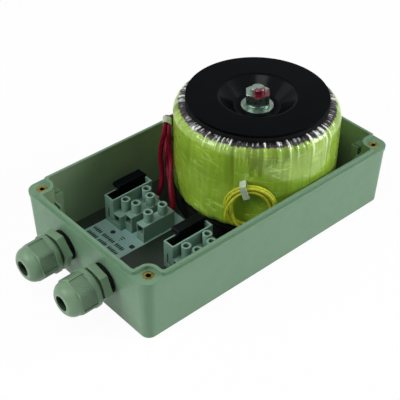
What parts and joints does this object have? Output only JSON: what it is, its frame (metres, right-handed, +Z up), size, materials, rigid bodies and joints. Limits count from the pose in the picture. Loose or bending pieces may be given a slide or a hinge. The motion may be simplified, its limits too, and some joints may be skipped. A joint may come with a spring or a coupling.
{
  "type": "electrical transformer",
  "caption": "Toroidal mains transformer bolted into an open grey-green plastic case, wired to fused terminal blocks, with cable glands through one end wall.",
  "frame": {"origin": "centre of the case's underside, leaving the glands out", "axes": "+Z up from the underside, +X along the case from the gland wall to the transformer, +Y across the case"},
  "size_m": [0.2587, 0.1296, 0.096],
  "materials": {
    "case_plastic": "fine satin moulding",
    "gland_plastic": "satin moulding",
    "block_plastic": "satin moulding",
    "black_plastic": "satin moulding",
    "label_print": "printed card",
    "brass": "plain",
    "zinc_steel": "zinc plated",
    "nickel": "nickel plated",
    "fuse_glass": "clear",
    "yellow_film": "wrinkled glossy film",
    "copper": "enamelled copper",
    "clear_film": "wound film",
    "core_steel": "wound strip",
    "black_rubber": "matt",
    "black_paint": "satin black",
    "red_sleeve": "satin",
    "yellow_sleeve": "satin",
    "pale_tie": "satin"
  },
  "bodies": {
    "base": {"block_fixing_screws": "zinc_steel", "case": "case_plastic", "centre_bolt": "zinc_steel", "core_insulation": "clear_film", "corner_inserts": "brass", "dished_plate": "black_paint", "far_gland_body": "gland_plastic", "far_gland_dome_nut": "gland_plastic", "far_gland_gasket": "black_rubber", "far_gland_locknut": "gland_plastic", "far_gland_seal": "black_rubber", "film_wrap": "yellow_film", "flat_washer": "zinc_steel", "hex_nut": "zinc_steel", "label_card": "label_print", "lower_pad": "black_rubber", "mains_block": "block_plastic", "mains_clamp_screws": "zinc_steel", "mains_clamps": "brass", "mains_fuse_contacts": "brass", "near_gland_body": "gland_plastic", "near_gland_dome_nut": "gland_plastic", "near_gland_gasket": "black_rubber", "near_gland_locknut": "gland_plastic", "near_gland_seal": "black_rubber", "output_block": "block_plastic", "output_clamp_screws": "zinc_steel", "output_clamps": "brass", "output_fuse_contacts": "brass", "primary_winding": "copper", "red_lead_fused": "red_sleeve", "red_lead_plain": "red_sleeve", "red_lead_second": "red_sleeve", "red_lead_tie": "pale_tie", "secondary_winding": "copper", "spring_washer": "zinc_steel", "toroid_core": "core_steel", "upper_pad": "black_rubber", "winding_insulation": "clear_film", "yellow_coil": "yellow_sleeve", "yellow_coil_tie": "pale_tie", "yellow_end_fused": "yellow_sleeve", "yellow_end_plain": "yellow_sleeve", "yellow_start_first": "yellow_sleeve", "yellow_start_second": "yellow_sleeve"},
    "mains_carrier": {"mains_fuse_carrier": "black_plastic", "mains_fuse_caps": "nickel", "mains_fuse_glass": "fuse_glass"},
    "output_carrier": {"output_fuse_carrier": "black_plastic", "output_fuse_caps": "nickel", "output_fuse_glass": "fuse_glass"}
  },
  "joints": [
    {"name": "mains_carrier_pull", "type": "slide", "parent": "base", "child": "mains_carrier", "axis": [0, 0, 1], "range_m": [0, 0.025]},
    {"name": "output_carrier_pull", "type": "slide", "parent": "base", "child": "output_carrier", "axis": [0, 0, 1], "range_m": [0, 0.025]}
  ]
}
